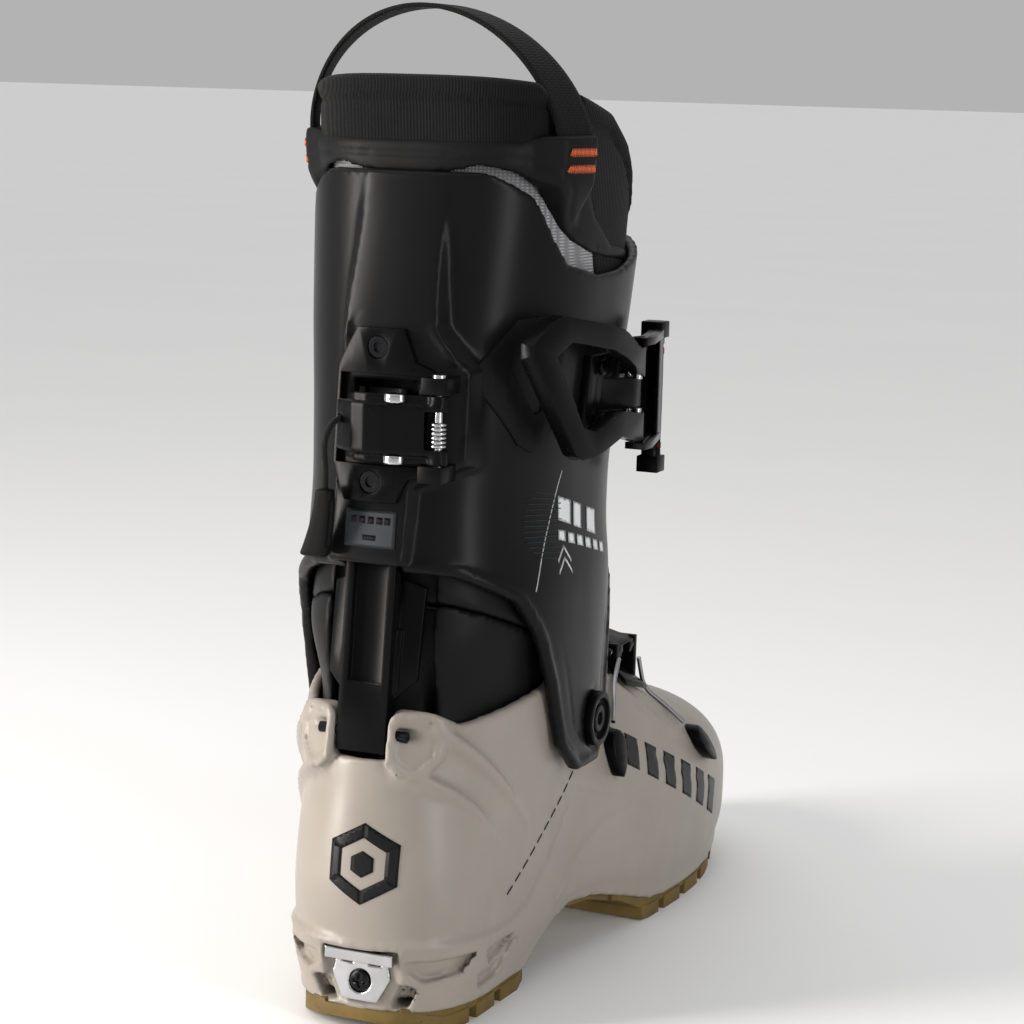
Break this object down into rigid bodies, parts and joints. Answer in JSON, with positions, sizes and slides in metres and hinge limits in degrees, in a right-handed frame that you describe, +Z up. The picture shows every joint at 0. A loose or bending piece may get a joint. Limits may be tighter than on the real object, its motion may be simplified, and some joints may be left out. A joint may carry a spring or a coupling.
{
  "type": "alpine touring boot",
  "caption": "Alpine touring ski boot: rigid lower shell with lugged sole and pin fittings, pivoting cuff with rear walk lock, buckles, soft liner and pull loop.",
  "frame": {"origin": "on the ground under the middle of the heel sole, 40 mm ahead of the rearmost point of the heel", "axes": "+Z up along the leg, +Y towards the toe, +X to the lateral (outer) side of this right boot"},
  "size_m": [0.1188, 0.2973, 0.35],
  "materials": {
    "badge": "matte",
    "board": "matte",
    "bush": "matte",
    "cable": "wire",
    "cord": "braided",
    "cuff": "satin",
    "dark_steel": "satin",
    "hard_black": "satin",
    "knit": "ribbed knit",
    "liner": "soft",
    "shell": "satin",
    "pad": "matte",
    "panel": "smooth moulded",
    "sole": "matte",
    "steel": "polished",
    "webbing": "woven"
  },
  "bodies": {
    "lower": {"lower_shell": "shell", "heel_sole": "sole", "forefoot_sole": "sole", "arch_strip": "sole", "heel_insert": "steel", "heel_insert_screw": "dark_steel", "toe_insert": "steel", "boot_board": "board", "footbed": "liner", "heel_liner": "liner", "foot_liner": "liner", "pivot_cap_lateral": "dark_steel", "pivot_bush_lateral": "bush", "pivot_cap_medial": "dark_steel", "pivot_bush_medial": "bush", "bar_pin": "dark_steel", "instep_flap": "pad", "instep_catch": "hard_black", "instep_pin": "dark_steel", "cable_guide_rear_lateral": "hard_black", "cable_guide_front_lateral": "hard_black", "cable_guide_rear_medial": "hard_black", "cable_guide_front_medial": "hard_black", "instep_cable_rear": "cable", "instep_cable_front": "cable"},
    "link_bar": {"link_bar": "hard_black"},
    "cuff": {"cuff_shell": "cuff", "badge": "badge", "lock_plate": "hard_black", "plate_screw_upper": "dark_steel", "plate_screw_lower": "dark_steel", "hinge_pin": "steel", "hinge_spring": "steel", "buckle_base": "hard_black", "buckle_rivets": "steel", "buckle_pin": "steel", "cuff_strap": "webbing", "strap_anchor": "hard_black", "anchor_screws": "steel", "lever_pad": "pad", "leg_liner": "liner", "liner_collar": "knit", "tongue": "liner", "back_panel": "panel", "pull_loop": "webbing"},
    "lock_lever": {"lock_lever": "dark_steel", "lock_tooth": "steel", "lever_cord": "cord", "cord_knot": "cord", "cord_grip": "hard_black"},
    "buckle_lever": {"buckle_lever": "hard_black", "link_pins": "steel"},
    "strap_link": {"strap_link": "dark_steel", "strap_bar": "dark_steel"},
    "instep_latch": {"instep_latch": "hard_black"}
  },
  "joints": [
    {"name": "cuff_pivot", "type": "hinge", "parent": "lower", "child": "cuff", "pos_m": [0, 0.058, 0.096], "axis": [1, 0, 0], "range_deg": [-18, 12]},
    {"name": "link_bar_pivot", "type": "hinge", "parent": "lower", "child": "link_bar", "pos_m": [0, -0.0315, 0.1045], "axis": [1, 0, 0], "range_deg": [-18, 12]},
    {"name": "lock_lever_hinge", "type": "hinge", "parent": "cuff", "child": "lock_lever", "pos_m": [0.024, -0.0286, 0.2115], "axis": [0, 0, 1], "range_deg": [0, 70]},
    {"name": "buckle_hinge", "type": "hinge", "parent": "cuff", "child": "buckle_lever", "pos_m": [0.0545, 0.068, 0.216], "axis": [0, 0, 1], "range_deg": [-6, 75]},
    {"name": "strap_slide", "type": "slide", "parent": "cuff", "child": "strap_link", "axis": [0.27, 0.9629, 0], "range_m": [-0.002, 0.013]},
    {"name": "instep_hinge", "type": "hinge", "parent": "lower", "child": "instep_latch", "pos_m": [0.03, 0.132, 0.106], "axis": [0, 1, 0], "range_deg": [0, 70]}
  ],
  "couplings": [
    {"joint": "link_bar_pivot", "follows": "cuff_pivot", "ratio": 0.92},
    {"joint": "strap_slide", "follows": "buckle_hinge", "m_per_rad": 0.0095}
  ]
}
